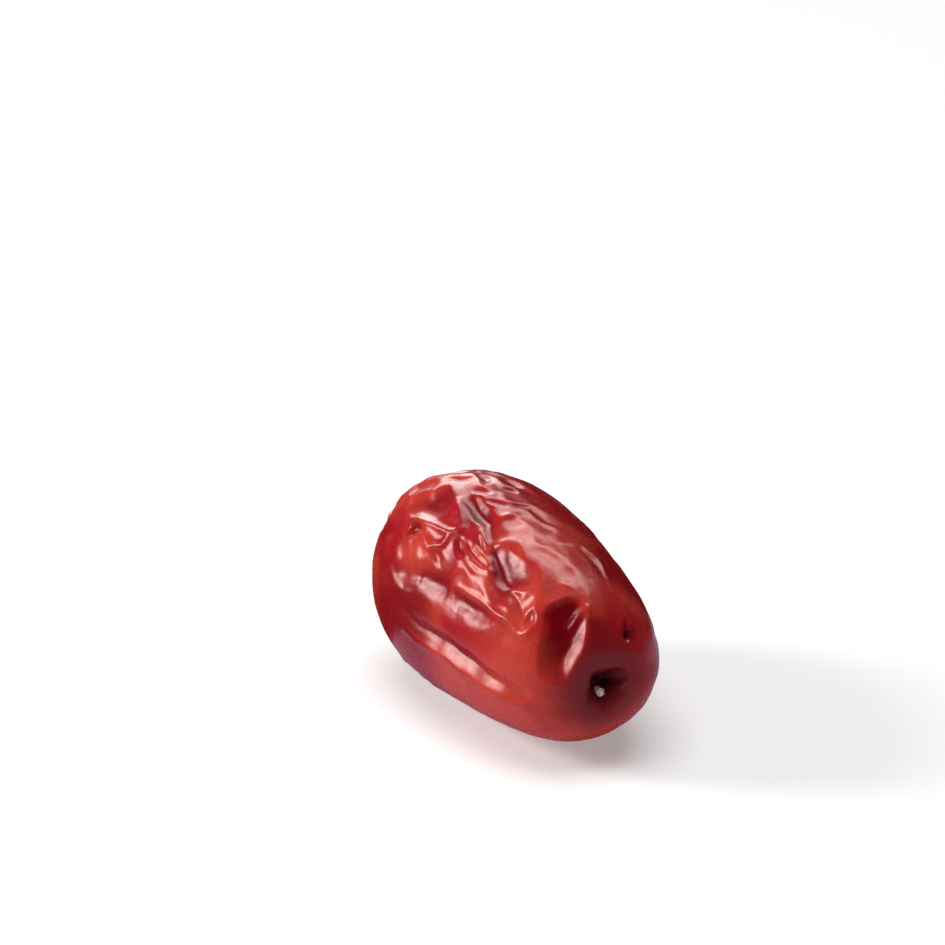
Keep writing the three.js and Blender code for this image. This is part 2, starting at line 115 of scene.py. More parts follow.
# Raised folds of the skin: the places that they run through, their height and half width
FOLDS = [
    # across the belly, forking above the dent
    ([(25.8, 58.5), (22, 56.5), (18, 55.5), (15, 55.5), (12.8, 57)], 0.3, 0.45),
    ([(12.8, 57), (12.1, 53), (11.8, 47)], 0.24, 0.55),
    # on the far shoulder
    ([(38.2, 46), (35.5, 42), (32.6, 40), (30.6, 38), (29.2, 34)], 0.42, 0.5),
    ([(32.9, 48), (31.9, 50), (30.4, 46), (30.3, 40)], 0.35, 0.45),
    ([(33.8, 47), (33.6, 53), (32.4, 60)], 0.4, 0.85),
    ([(34.6, 22), (31.8, 28), (29.3, 34)], 0.45, 0.6),
    ([(37.8, 70), (35.8, 75), (33.6, 78), (31.6, 76)], 0.32, 0.6),
    ([(37.8, 56), (37.2, 62), (35.4, 68)], 0.26, 0.75),
    # the nested folds by the long crease
    ([(28.2, 38), (26.6, 40), (25, 42), (23, 42), (21.4, 40)], 0.35, 0.4),
    ([(27.5, 26), (24.9, 32), (23.1, 35), (21.4, 40)], 0.35, 0.4),
    ([(26.2, 36), (24.7, 36), (22.5, 38)], 0.3, 0.3),
    # inside the dent near the stalk end
    ([(10.2, 4), (9.8, 10), (9.3, 16), (8.8, 23), (8.4, 30)], 0.5, 0.7),
    # over the top
    ([(27.4, 16), (27.5, 10), (27.3, 5)], 0.25, 0.4),
    ([(20.8, -4), (20.7, -18), (18.5, -26), (13.1, -23)], 0.18, 0.4),
]

# Creases of the skin: the places that they run through, their depth and half width
CREASES = [
    # the broad valley across the belly, with a narrow one in it
    ([(24, 32), (20.5, 34.5), (16, 41)], 0.45, 1.9),
    ([(31.6, 18), (28, 22), (23.5, 31), (20, 38), (16.5, 41), (13, 50)], 0.35, 0.7),
    # above the slope on the flank
    ([(24.6, 67), (23.4, 63.5), (20.4, 61.5), (17.5, 60)], 0.36, 1.1),
    ([(31.5, 66), (28.5, 63), (26, 62)], 0.48, 1.3),
    # the slit
    ([(9.3, -29), (7.8, -31), (6.5, -36)], 0.7, 0.35),
]

# The bright slope along the flank, between a crease above it and a fold below it: the places along its
# middle, the angle from there to each of the two, and their height and half width
FLANK_SLOPE = [(34, 91), (30, 94), (25, 94), (20.5, 96), (17.5, 98), (13.5, 100.5), (10, 103)]
FLANK_HALF_ANGLE = 5.0
FLANK_HEIGHT, FLANK_HALF_WIDTH = 0.62, 0.75

# Height that is left at both ends of a fold or crease, as a share of the height at its middle
LINE_END_SHARE = 0.2

# Smaller hollows over the rest of the skin, in staggered rows round the fruit
WRINKLE_SEED = 20
WRINKLE_ROWS = 13
WRINKLE_FIRST_ROW, WRINKLE_LAST_ROW = 6.5, 55.0
WRINKLE_SPACING = 3.7
WRINKLE_JITTER = 0.7
WRINKLE_HALF_LENGTH = (2.2, 4.2)
WRINKLE_HALF_WIDTH = (1.1, 2.0)
WRINKLE_DEPTH = (0.35, 0.8)
WRINKLE_TURN = (-40, 40)
SMOOTH_END = (3.0, 15.0)

# Calmer patches of skin: middle angle and half width in degrees, distance where they end, share of the
# wrinkles that is lost there
CALM_PATCHES = [
    (34, 46, 42, 0.5),
    (100, 32, 47, 0.85),
    (-58, 48, 40, 0.85),
    (140, 60, 30, 0.8),
    (178, 26, 42, 0.92),
]
PATCH_SOFT_ANGLE, PATCH_SOFT_DISTANCE = 8.0, 3.0

# Height above the flat spot at which the fine wrinkles are whole again
CALM_HEIGHT = 1.0

# Long folds and creases over the hidden sides, drawn at random: each wanders along the fruit in a few steps
DRAWN_SEED = 7
DRAWN_LINES = 56
DRAWN_FROM = (14.0, 52.0)
DRAWN_SIDE = (118.0, 338.0)
DRAWN_STEPS = 5
DRAWN_STEP = (1.3, 2.6)
DRAWN_WANDER = 9.0
DRAWN_HEIGHT = (0.2, 0.5)
DRAWN_HALF_WIDTH = (0.4, 0.8)

# Waves that make the outlines of hollows and folds uneven
WARP_SEED = 11
WARP_WAVES = 9
WARP_LENGTH = (3.0, 8.0)
WARP_PUSH = 0.22
FOLD_WARP_SHARE = 0.25

# Patches of colour that are painted light and shade: place, radius, and how far the skin there turns to
# orange (1) as painted light on lit facets, flanks and the lit wall of the dent, crimson (-1) as painted
# shade on shaded flanks, valleys and round the dent, or dark brown (-2) as painted shade in the slit
LIGHT_AND_SHADE_PATCHES = [
    ((38.5, 36), 4.5, 0.5),
    ((34.5, 50), 3.0, 0.5),
    ((15.0, 31), 3.2, 0.8),
    ((12.5, 84), 7.5, 0.8),
    ((37.0, 25), 2.2, -1.1),
    ((30.2, 24), 1.8, -0.8),
    ((36.5, 49), 1.2, -0.9),
    ((36.0, 98), 8.0, -1.0),
    ((30.0, 72), 3.0, -0.5),
    ((28.0, 112), 7.0, -0.2),
    ((17.0, -32), 9.0, -0.5),
    ((6.6, 8), 3.2, -0.9),
    ((7.8, -32), 0.9, -2.5),
    ((10.0, -24), 2.6, 0.7),
    ((11.0, 36), 2.2, -0.8),
    ((6.9, 20), 0.9, 0.9),
    ((6.2, 30), 0.9, 1.1),
    ((5.8, 40), 0.9, 1.1),
    ((5.5, 51), 0.9, 0.9),
]
LIGHT_AND_SHADE_LIMITS = (-2.0, 1.0)

# Pattern of the skin, in cells to a metre: colour patches, grain, and ripples drawn out along the fruit,
# with the ripples' depth in millimetres
PATCH_SCALE = 110.0
GRAIN_SCALE = 1800.0
RIPPLE_SCALE, RIPPLE_STRETCH = 1300.0, (0.55, 1.0, 1.0)
RIPPLE_STRENGTH, RIPPLE_DEPTH = 0.6, 0.05

# Where the skin's colours change: noise from red to orange; relief in millimetres, whose hollows take
# painted shade in crimson; the patches of painted light and shade; and distance from the stalk end in
# millimetres, which gives the duller brown end and the painted shade on the pit's floor
PATCH_CHANGE = (0.42, 0.62)
HOLLOW_SHADE_CHANGE = (-0.9, -0.1)
DEEPEST_SHADE_CHANGE = (-2.0, -1.0)
DARK_CHANGE, DARK_SHARE = (-1.0, 0.0), 0.9
LIT_ORANGE_CHANGE = (0.0, 1.0)
END_CHANGE = (1.0, 9.0)
PIT_SHADE_CHANGE = (0.6, 2.6)

# Roughness of the skin, over this stretch of the grain
GRAIN_CHANGE, SKIN_ROUGHNESS = (0.3, 0.7), (0.25, 0.3)

# Stalk pit and its dish, and the dimple with the dried point of the style at the other end
PIT_RADIUS, PIT_DEPTH = 1.9, 1.9
PIT_CREASES, PIT_CREASE_SHARE = 5, 0.09
DISH_RADIUS, DISH_DEPTH = 4.2, 0.45
STYLE_DIMPLE_RADIUS, STYLE_DIMPLE_DEPTH = 2.6, 0.7
STYLE_POINT_RADIUS, STYLE_POINT_HEIGHT = 0.7, 0.6

# Stalk stub, as shares of its packed box and of its own radius and length: a waisted peg with ribs, whose
# broken end is ragged at the rim and sunk at the heart
STUB_SIDES, STUB_RINGS = 28, 12
STUB_SEED = 5
STUB_RAGGED = 0.12
STUB_LENGTH_SHARE, STUB_RADIUS_SHARE = 0.98, 0.95
STUB_WAIST = 0.2
STUB_RIB_SHARE, STUB_RIB_INSET = 0.6, 0.06
STUB_RIM_SHARE, STUB_RIM_INSET = 0.8, 0.1
STUB_HEART_SHARE = 0.78

# Pattern of the stalk's fibres, in cells to a metre, its depth in millimetres, and where dark turns to pale
FIBRE_SCALE, FIBRE_STRETCH = 5000.0, (0.2, 1.0, 1.0)
FIBRE_STRENGTH, FIBRE_DEPTH = 0.5, 0.1
FIBRE_CHANGE = (0.35, 0.65)

# Fineness of the skin
SKIN_RINGS = 290
SKIN_COLUMNS = 328
RING_CROWDING = 0.06
MERIDIAN_STEPS = 4000
SLOPE_STEP, TURN_STEP = 0.02, 1.0

# Constants of the random draw, the common 32-bit linear congruential rule
DRAW_FACTOR, DRAW_STEP, DRAW_RANGE = 1664525, 1013904223, 2**32

# Where the camera stands: its direction, its distance from the fruit in millimetres, the side of the square
# picture, the pixel of the form's middle and the pixels that a millimetre takes there, and the width of its
# sensor and the nearest thing that it shows, in millimetres
CAMERA_AZIMUTH, CAMERA_ELEVATION = 62.9, 22.0
CAMERA_DISTANCE = 600.0
PICTURE_SIDE = 945
FORM_PIXEL = (519.1, 607.8)
PIXELS_PER_MM = 8.62
SENSOR = 36.0
CAMERA_NEAREST = 10.0

# Stage, in metres: the floor with the tooth of its paper, and the card, set by its left edge, its middle
# and its height over the floor
FLOOR_HALF_SIDE = 2.0
TOOTH_SCALE, TOOTH_STRENGTH, TOOTH_DEPTH = 900.0, 0.05, 0.1 * MM
PAPER_ROUGHNESS = 0.9
CARD_HALF_SIDE = 0.25
CARD_EDGE, CARD_MIDDLE, CARD_LIFT = -20 * MM, -60 * MM, 0.2 * MM

# Lights: the height that they aim at in metres, the far light's power as a share of the back light's, and
# how bright the even surroundings are
AIM_HEIGHT = 13 * MM
FAR_LIGHT_SHARE = 0.6
SURROUNDINGS_STRENGTH = 0.07

# Numbers of the colour sockets on a mix node, whose names are the same for every kind of value
MIX_SHARE, MIX_FIRST, MIX_SECOND, MIX_RESULT = 0, 6, 7, 2


class FruitSettings(bpy.types.PropertyGroup):
    """Looks of the skin that a user would change"""

    # Crimson: painted shade, laid into the deep hollows and onto the shaded patches
    crimson: bpy.props.FloatVectorProperty(
        name="Crimson", description="Colour of the deep hollows", subtype="COLOR", size=4,
        default=(0.19, 0.0015, 0.006, 1.0), min=0.0, max=1.0)
    red: bpy.props.FloatVectorProperty(
        name="Red", description="Main colour of the skin", subtype="COLOR", size=4,
        default=(0.31, 0.007, 0.011, 1.0), min=0.0, max=1.0)
    # Orange red: the skin's own tone in random patches, and painted light on the lit patches
    orange: bpy.props.FloatVectorProperty(
        name="Orange red", description="Colour where the flesh is close under the skin",
        subtype="COLOR", size=4, default=(0.45, 0.036, 0.022, 1.0), min=0.0, max=1.0)
    end_brown: bpy.props.FloatVectorProperty(
        name="End brown", description="Duller colour round the stalk pit", subtype="COLOR", size=4,
        default=(0.13, 0.008, 0.013, 1.0), min=0.0, max=1.0)
    # Painted shade: the dark colour painted onto the floor of the stalk pit and into the slit
    deepest_shade: bpy.props.FloatVectorProperty(
        name="Pit dark", description="Colour of the floor of the stalk pit", subtype="COLOR", size=4,
        default=(0.045, 0.001, 0.003, 1.0), min=0.0, max=1.0)
    crumple_depth: bpy.props.FloatProperty(
        name="Crumple depth", description="Depth of the small crumples", subtype="DISTANCE", unit="LENGTH",
        default=0.32 * MM, min=0.0)
    crumple_scale: bpy.props.FloatProperty(
        name="Crumple scale", description="Small crumples in a metre", default=330.0, min=1.0)
    net_depth: bpy.props.FloatProperty(
        name="Net depth", description="Depth of the fine wrinkle net", subtype="DISTANCE", unit="LENGTH",
        default=0.3 * MM, min=0.0)
    net_scale: bpy.props.FloatProperty(
        name="Net scale", description="Cells of the fine wrinkle net in a metre", default=480.0, min=1.0)
    net_seed: bpy.props.FloatProperty(
        name="Net seed", description="Fixed start of the fine wrinkle net", default=4.0)


class StalkSettings(bpy.types.PropertyGroup):
    """Looks of the stalk stub that a user would change"""

    pale: bpy.props.FloatVectorProperty(
        name="Pale fibre", description="Colour of the dry fibre", subtype="COLOR", size=4,
        default=(0.92, 0.68, 0.62, 1.0), min=0.0, max=1.0)
    dark: bpy.props.FloatVectorProperty(
        name="Dark fibre", description="Colour between the fibres", subtype="COLOR", size=4,
        default=(0.50, 0.28, 0.24, 1.0), min=0.0, max=1.0)


class StageSettings(bpy.types.PropertyGroup):
    """Floor and lights that a user would change"""

    floor_colour: bpy.props.FloatVectorProperty(
        name="Floor", description="Colour of the plain floor", subtype="COLOR", size=4,
        default=(0.7, 0.7, 0.7, 1.0), min=0.0, max=1.0)
    floor_glow: bpy.props.FloatProperty(
        name="Floor glow", description="Light that the floor gives off by itself", default=0.3, min=0.0)
    card_colour: bpy.props.FloatVectorProperty(
        name="Card", description="Colour of the card that the fruit reflects", subtype="COLOR", size=4,
        default=(0.36, 0.34, 0.50, 1.0), min=0.0, max=1.0)
    key_power: bpy.props.FloatProperty(
        name="Key power", description="Power of the soft light at the left", subtype="POWER", unit="POWER",
        default=6.0, min=0.0)
    back_power: bpy.props.FloatProperty(
        name="Back power", description="Power of the wide light behind", subtype="POWER", unit="POWER",
        default=8.6, min=0.0)
    top_power: bpy.props.FloatProperty(
        name="Top power", description="Power of the wide light overhead", subtype="POWER", unit="POWER",
        default=9.0, min=0.0)


def meridian():
    """Half outline of the plump form: distance from the stalk end, place along the fruit, radius."""
    turned = np.linspace(0.0, math.pi, MERIDIAN_STEPS + 1)
    cosine = np.cos(turned)
    blend = 0.5 * (1 + np.tanh(cosine / SQUARENESS_BLEND))
    power = 2 / (STYLE_END_SQUARENESS + (STALK_END_SQUARENESS - STYLE_END_SQUARENESS) * blend)
    along = np.sign(cosine) * np.abs(cosine) ** power
    radius = FRUIT_RADIUS * np.abs(np.sin(turned)) ** power * (1 - STALK_END_TAPER * along)
    place = FRUIT_LENGTH / 2 * along
    steps = np.hypot(np.diff(place), np.diff(radius))
    return np.concatenate([[0.0], np.cumsum(steps)]), place, radius


MERIDIAN_DISTANCE, MERIDIAN_PLACE, MERIDIAN_RADIUS = meridian()
MERIDIAN_LENGTH = float(MERIDIAN_DISTANCE[-1])


def form_points(distance, angle):
    """Points of the plump form in millimetres, lying with the stalk end a little low."""
    distance = np.asarray(distance, dtype=float)
    turned = np.radians(np.asarray(angle, dtype=float))
    place = np.interp(distance, MERIDIAN_DISTANCE, MERIDIAN_PLACE)
    radius = np.interp(distance, MERIDIAN_DISTANCE, MERIDIAN_RADIUS)
    oval = OVAL_SHARE * np.cos(2 * (turned - math.radians(OVAL_ANGLE)))
    three_sided = THREE_SIDED_SHARE * np.cos(3 * (turned - math.radians(THREE_SIDED_ANGLE)))
    radius = radius * (1 + oval + three_sided)
    bow = (place / (FRUIT_LENGTH / 2)) ** 2
    sideways = -radius * np.sin(turned) + BOW_SIDEWAYS * bow
    upward = radius * np.cos(turned) + BOW_UPWARD * bow
    drop = math.radians(STALK_END_DROP)
    lowered = -place * math.sin(drop) + upward * math.cos(drop)
    return np.stack([place * math.cos(drop) + upward * math.sin(drop), sideways, lowered], axis=-1)


def unit(vectors):
    return vectors / np.linalg.norm(vectors, axis=-1, keepdims=True)


def form_frame(distance, angle):
    """The form's points and directions there: towards the stalk, round the fruit, and straight out."""
    distance = np.clip(np.asarray(distance, dtype=float), 2 * SLOPE_STEP, MERIDIAN_LENGTH - 2 * SLOPE_STEP)
    angle = np.asarray(angle, dtype=float)
    nearer, farther = distance - SLOPE_STEP, distance + SLOPE_STEP
    towards_stalk = unit(form_points(nearer, angle) - form_points(farther, angle))
    around = unit(form_points(distance, angle + TURN_STEP) - form_points(distance, angle - TURN_STEP))
    return form_points(distance, angle), towards_stalk, around, unit(np.cross(around, towards_stalk))


class Draws:
    """Even random numbers from one fixed seed."""

    def __init__(self, seed):
        self.state = seed

    def between(self, low, high):
        self.state = (DRAW_FACTOR * self.state + DRAW_STEP) % DRAW_RANGE
        return low + (high - low) * self.state / DRAW_RANGE


def smooth_step(value, low, high):
    share = np.clip((value - low) / (high - low), 0.0, 1.0)
    return share * share * (3 - 2 * share)


def wrinkle_share(distance, angle):
    """How wrinkled the skin is, from 0 to 1: less towards the stalk end and on the calm patches."""
    share = smooth_step(distance, *SMOOTH_END)
    for middle, half_width, ends, lost in CALM_PATCHES:
        turned = np.abs((angle - middle + 180) % 360 - 180)
        beside = smooth_step(turned, half_width - PATCH_SOFT_ANGLE, half_width + PATCH_SOFT_ANGLE)
        beyond = smooth_step(distance, ends - PATCH_SOFT_DISTANCE, ends + PATCH_SOFT_DISTANCE)
        share = share * (1 - lost * (1 - beside) * (1 - beyond))
    return share


def warped(points):
    """Points pushed about by a few slow waves, so that outlines drawn on them come out uneven."""
    draws = Draws(WARP_SEED)
    moved = points.copy()
    for _ in range(WARP_WAVES):
        wave = np.array([draws.between(-1, 1) for _ in range(3)])
        push = np.array([draws.between(-1, 1) for _ in range(3)])
        wave = unit(wave) * 2 * math.pi / draws.between(*WARP_LENGTH)
        phase = draws.between(0, 2 * math.pi)
        moved += WARP_PUSH * unit(push) * np.sin(points @ wave + phase)[:, None]
    return moved


def draw_wrinkle(draws, row, column, columns):
    row_step = (WRINKLE_LAST_ROW - WRINKLE_FIRST_ROW) / (WRINKLE_ROWS - 1)
    jitter = WRINKLE_JITTER / 2
    distance = WRINKLE_FIRST_ROW + (row + draws.between(-jitter, jitter)) * row_step
    angle = (column + (row % 2) / 2 + draws.between(-jitter, jitter)) * 360 / columns
    half = (draws.between(*WRINKLE_HALF_LENGTH), draws.between(*WRINKLE_HALF_WIDTH))
    depth = draws.between(*WRINKLE_DEPTH) * wrinkle_share(distance, angle)
    return (distance, angle), half, depth, draws.between(*WRINKLE_TURN)


def wrinkle_hollows():
    draws = Draws(WRINKLE_SEED)
    hollows = []
    for row in range(WRINKLE_ROWS):
        distance = WRINKLE_FIRST_ROW + (WRINKLE_LAST_ROW - WRINKLE_FIRST_ROW) * row / (WRINKLE_ROWS - 1)
        girth = 2 * math.pi * float(np.interp(distance, MERIDIAN_DISTANCE, MERIDIAN_RADIUS))
        columns = round(girth / WRINKLE_SPACING)
        hollows += [draw_wrinkle(draws, row, column, columns) for column in range(columns)]
    return hollows


def hollow_depth(points):
    """The deepest bowl wins at each point, with rounded crests between them."""
    total = np.ones(len(points))
    for (distance, angle), (half_length, half_width), depth, turn in HOLLOWS + wrinkle_hollows():
        centre, towards_stalk, around, out = form_frame(distance, angle)
        turned = math.radians(turn)
        along = math.cos(turned) * towards_stalk + math.sin(turned) * around
        across = np.cross(out, along)
        offset = points - centre
        away = (offset @ along / half_length) ** 2 + (offset @ across / half_width) ** 2
        away += (offset @ out / HOLLOW_REACH) ** 2
        total += np.exp(depth * (1 - away) / HOLLOW_ROUNDING)
    return HOLLOW_ROUNDING * np.log(total)


def line_rise(points, places, height, half_width):
    """A rounded ridge along a line over the skin, fading out at both ends."""
    knots = form_points(*np.array(places, dtype=float).T)
    lengths = np.linalg.norm(np.diff(knots, axis=0), axis=1)
    starts = np.concatenate([[0.0], np.cumsum(lengths)])
    nearest = np.full(len(points), np.inf)
    share = np.zeros(len(points))
    for start, end, length, before in zip(knots[:-1], knots[1:], lengths, starts[:-1]):
        step = (end - start) / length
        along = np.clip((points - start) @ step, 0.0, length)
        away = np.linalg.norm(points - start - along[:, None] * step, axis=1)
        closer = away < nearest
        nearest = np.where(closer, away, nearest)
        share = np.where(closer, (before + along) / starts[-1], share)
    arch = np.sqrt(np.clip(4 * share * (1 - share), 0.0, 1.0))
    fade = arch * (1 - LINE_END_SHARE) + LINE_END_SHARE
    return height * fade * np.exp(-((nearest / half_width) ** 2))


def beside_flank(side):
    """The crease (-1) or the fold (1) beside the slope along the flank."""
    places = [(distance, angle + side * FLANK_HALF_ANGLE) for distance, angle in FLANK_SLOPE]
    return places, FLANK_HEIGHT, FLANK_HALF_WIDTH


def drawn_line(draws):
    """One wandering line over the hidden sides, with its height and half width."""
    distance, angle = draws.between(*DRAWN_FROM), draws.between(*DRAWN_SIDE)
    heading = 1 if draws.between(-1, 1) > 0 else -1
    places = [(distance, angle)]
    for _ in range(DRAWN_STEPS):
        distance += heading * draws.between(*DRAWN_STEP)
        angle += draws.between(-DRAWN_WANDER, DRAWN_WANDER)
        places.append((min(distance, DRAWN_FROM[1]), angle))
    height = draws.between(*DRAWN_HEIGHT) * float(wrinkle_share(*places[len(places) // 2]))
    return places, height, draws.between(*DRAWN_HALF_WIDTH)


def drawn_lines():
    draws = Draws(DRAWN_SEED)
    return [drawn_line(draws) for _ in range(DRAWN_LINES)]


def bell(distance, radius):
    return np.exp(-((distance / radius) ** 2))


def end_depth(distance, angle):
    creased = distance * (1 + PIT_CREASE_SHARE * np.cos(PIT_CREASES * np.radians(angle)))
    pit = PIT_DEPTH * bell(creased, PIT_RADIUS) + DISH_DEPTH * bell(distance, DISH_RADIUS)
    from_style = MERIDIAN_LENGTH - distance
    dimple = STYLE_DIMPLE_DEPTH * bell(from_style, STYLE_DIMPLE_RADIUS)
    return pit + dimple - STYLE_POINT_HEIGHT * bell(from_style, STYLE_POINT_RADIUS)


def light_and_shade(points):
    """How far each point turns to orange (1) as painted light, or to crimson (-1) or dark brown (-2) as
    painted shade.
    """
    total = np.zeros(len(points))
    for place, radius, strength in LIGHT_AND_SHADE_PATCHES:
        away = np.linalg.norm(points - form_points(*place), axis=1)
        total += strength * bell(away, radius)
    return np.clip(total, *LIGHT_AND_SHADE_LIMITS)


def skin_places():
    """Distances and angles of all skin points: the stalk end, the rings, and the style end."""
    share = np.arange(1, SKIN_RINGS) / SKIN_RINGS
    rings = MERIDIAN_LENGTH * (share - RING_CROWDING * np.sin(2 * math.pi * share))
    columns = np.arange(SKIN_COLUMNS) * 360 / SKIN_COLUMNS
    distance = np.concatenate([[0.0], np.repeat(rings, SKIN_COLUMNS), [MERIDIAN_LENGTH]])
    angle = np.concatenate([[0.0], np.tile(columns, SKIN_RINGS - 1), [0.0]])
    return distance, angle


def skin_faces():
    """Quads between the rings, pointing outwards, and a fan of triangles at each end."""
    last = 1 + (SKIN_RINGS - 1) * SKIN_COLUMNS
    column = np.arange(SKIN_COLUMNS)
    following = (column + 1) % SKIN_COLUMNS
    faces = [(0, 1 + a, 1 + b) for a, b in zip(column, following)]
    for ring in range(SKIN_RINGS - 2):
        near, far = 1 + ring * SKIN_COLUMNS, 1 + (ring + 1) * SKIN_COLUMNS
        faces += [(near + a, far + a, far + b, near + b) for a, b in zip(column, following)]
    foot = last - SKIN_COLUMNS
    return faces + [(last, foot + b, foot + a) for a, b in zip(column, following)]


def skin_points():
    """Skin points in millimetres, before the fruit is set down, and what the material and the net read."""
    distance, angle = skin_places()
    points = form_points(distance, angle)
    out = form_frame(distance, angle)[3]
    axis = unit(form_points(0.0, 0.0) - form_points(MERIDIAN_LENGTH, 0.0))
    out[0], out[-1] = axis, -axis
    drawn_on = warped(points)
    hollow = hollow_depth(drawn_on)
    traced_on = points + FOLD_WARP_SHARE * (drawn_on - points)
    drawn = drawn_lines()
    rise = sum(line_rise(traced_on, *fold) for fold in FOLDS + [beside_flank(1)] + drawn[::2])
    crease = sum(line_rise(traced_on, *line) for line in CREASES + [beside_flank(-1)] + drawn[1::2])
    relief = rise - hollow - crease
    layers = {
        "relief": relief,
        "light_and_shade": light_and_shade(drawn_on),
        "from_stalk": distance,
        "wrinkled": wrinkle_share(distance, angle),
    }
    points = points + out * (relief - end_depth(distance, angle))[:, None]
    ground = points[:, 2].min() + FLAT_SPOT_DEPTH
    points[:, 2] = np.maximum(points[:, 2], ground)
    layers["wrinkled"] *= smooth_step(points[:, 2] - ground, 0.0, CALM_HEIGHT)
    return points, layers


SKIN_POINTS, SKIN_LAYERS = skin_points()


def set_down_shift():
    """The move, in millimetres, that sets the form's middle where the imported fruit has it."""
    low, high = (np.array(corner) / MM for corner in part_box("fruit"))
    middle = (SKIN_POINTS.min(axis=0) + SKIN_POINTS.max(axis=0)) / 2
    shift = (low + high) / 2 - middle
    shift[2] = low[2] - SKIN_POINTS[:, 2].min()
    return shift


FORM_MIDDLE = set_down_shift()


def new_object(name, mesh):
    piece = bpy.data.objects.new(name, mesh)
    bpy.context.scene.collection.objects.link(piece)
    return piece


def new_material(name):
    material = bpy.data.materials.new(name)
    material.use_nodes = True
    nodes = material.node_tree.nodes
    return material, nodes, material.node_tree.links, nodes["Principled BSDF"]


def set_inputs(node, **inputs):
    for name, value in inputs.items():
        node.inputs[name.replace("_", " ")].default_value = value


def add_node(nodes, kind, **inputs):
    node = nodes.new(kind)
    set_inputs(node, **inputs)
    return node


def feed(links, socket, value):
    """Links another node's socket to this one, or sets this one to a plain value."""
    if isinstance(value, bpy.types.NodeSocket):
        links.new(value, socket)
    else:
        socket.default_value = value


def mix_colour(nodes, links, share, first, second):
    """A colour mix; share, first and second are sockets or values."""
    node = nodes.new("ShaderNodeMix")
    node.data_type = "RGBA"
    for number, value in ((MIX_SHARE, share), (MIX_FIRST, first), (MIX_SECOND, second)):
        feed(links, node.inputs[number], value)
    return node.outputs[MIX_RESULT]


def map_range(nodes, links, value, low, high, to_low=0.0, to_high=1.0):
    node = nodes.new("ShaderNodeMapRange")
    node.interpolation_type = "SMOOTHSTEP"
    links.new(value, node.inputs["Value"])
    for name, number in (("From Min", low), ("From Max", high), ("To Min", to_low), ("To Max", to_high)):
        node.inputs[name].default_value = number
    return node.outputs["Result"]


def attribute(nodes, name):
    node = nodes.new("ShaderNodeAttribute")
    node.attribute_name = name
    return node.outputs["Fac"]


def skin_colour(nodes, links, settings, place):
    """Red and orange patches, with each further colour laid over them where its layer of the skin says:
    painted shade in crimson in the hollows, painted light and shade from the painted patches, duller brown
    towards the stalk end, and painted shade on the floor of the stalk pit.
    """
    patches = add_node(nodes, "ShaderNodeTexNoise", Scale=PATCH_SCALE, Detail=3.0, Roughness=0.5)
    links.new(place, patches.inputs["Vector"])
    patch = map_range(nodes, links, patches.outputs["Fac"], *PATCH_CHANGE)
    colour = mix_colour(nodes, links, patch, tuple(settings.red), tuple(settings.orange))
    tints = (
        # painted shade: crimson in the hollows, by their depth
        ("relief", HOLLOW_SHADE_CHANGE, (1.0, 0.0), settings.crimson),
        # painted shade: crimson on the shaded patches
        ("light_and_shade", DARK_CHANGE, (DARK_SHARE, 0.0), settings.crimson),
        # painted shade: the darkest colour, in the slit
        ("light_and_shade", DEEPEST_SHADE_CHANGE, (1.0, 0.0), settings.deepest_shade),
        # painted light: orange on the lit patches
        ("light_and_shade", LIT_ORANGE_CHANGE, (0.0, 1.0), settings.orange),
        ("from_stalk", END_CHANGE, (1.0, 0.0), settings.end_brown),
        # painted shade: the dark floor of the stalk pit
        ("from_stalk", PIT_SHADE_CHANGE, (1.0, 0.0), settings.deepest_shade),
    )
    for layer, change, share, tint in tints:
        amount = map_range(nodes, links, attribute(nodes, layer), *change, *share)
        colour = mix_colour(nodes, links, amount, colour, tuple(tint))
    return colour


def stretched_noise(nodes, links, place, stretch, **inputs):
    """Noise drawn out along the fruit."""
    mapping = add_node(nodes, "ShaderNodeMapping", Scale=stretch)
    links.new(place, mapping.inputs["Vector"])
    noise = add_node(nodes, "ShaderNodeTexNoise", **inputs)
    links.new(mapping.outputs["Vector"], noise.inputs["Vector"])
    return noise.outputs["Fac"]


def add_bump(nodes, links, shader, height, strength, depth):
    bump = add_node(nodes, "ShaderNodeBump", Strength=strength, Distance=depth)
    links.new(height, bump.inputs["Height"])
    links.new(bump.outputs["Normal"], shader.inputs["Normal"])


def skin_material(settings):
    """Glossy red skin: painted shade in crimson in the hollows, painted light in orange red and painted
    shade in crimson on the painted patches, duller brown by the stalk pit, and painted shade on the pit's
    floor.
    """
    material, nodes, links, shader = new_material("jujube_skin")
    place = nodes.new("ShaderNodeTexCoord").outputs["Object"]
    links.new(skin_colour(nodes, links, settings, place), shader.inputs["Base Color"])
    grain = add_node(nodes, "ShaderNodeTexNoise", Scale=GRAIN_SCALE, Detail=2.0, Roughness=0.5)
    links.new(place, grain.inputs["Vector"])
    rough = map_range(nodes, links, grain.outputs["Fac"], *GRAIN_CHANGE, *SKIN_ROUGHNESS)
    links.new(rough, shader.inputs["Roughness"])
    ripples = stretched_noise(
        nodes, links, place, RIPPLE_STRETCH, Scale=RIPPLE_SCALE, Detail=2.0, Roughness=0.5)
    add_bump(nodes, links, shader, ripples, RIPPLE_STRENGTH, RIPPLE_DEPTH * MM)
    set_inputs(
        shader, IOR=1.45, Specular_IOR_Level=0.33, Specular_Tint=(1.0, 0.76, 0.72, 1.0),
        Subsurface_Weight=0.12, Subsurface_Radius=(1.0, 0.12, 0.08), Subsurface_Scale=0.8 * MM)
    return material


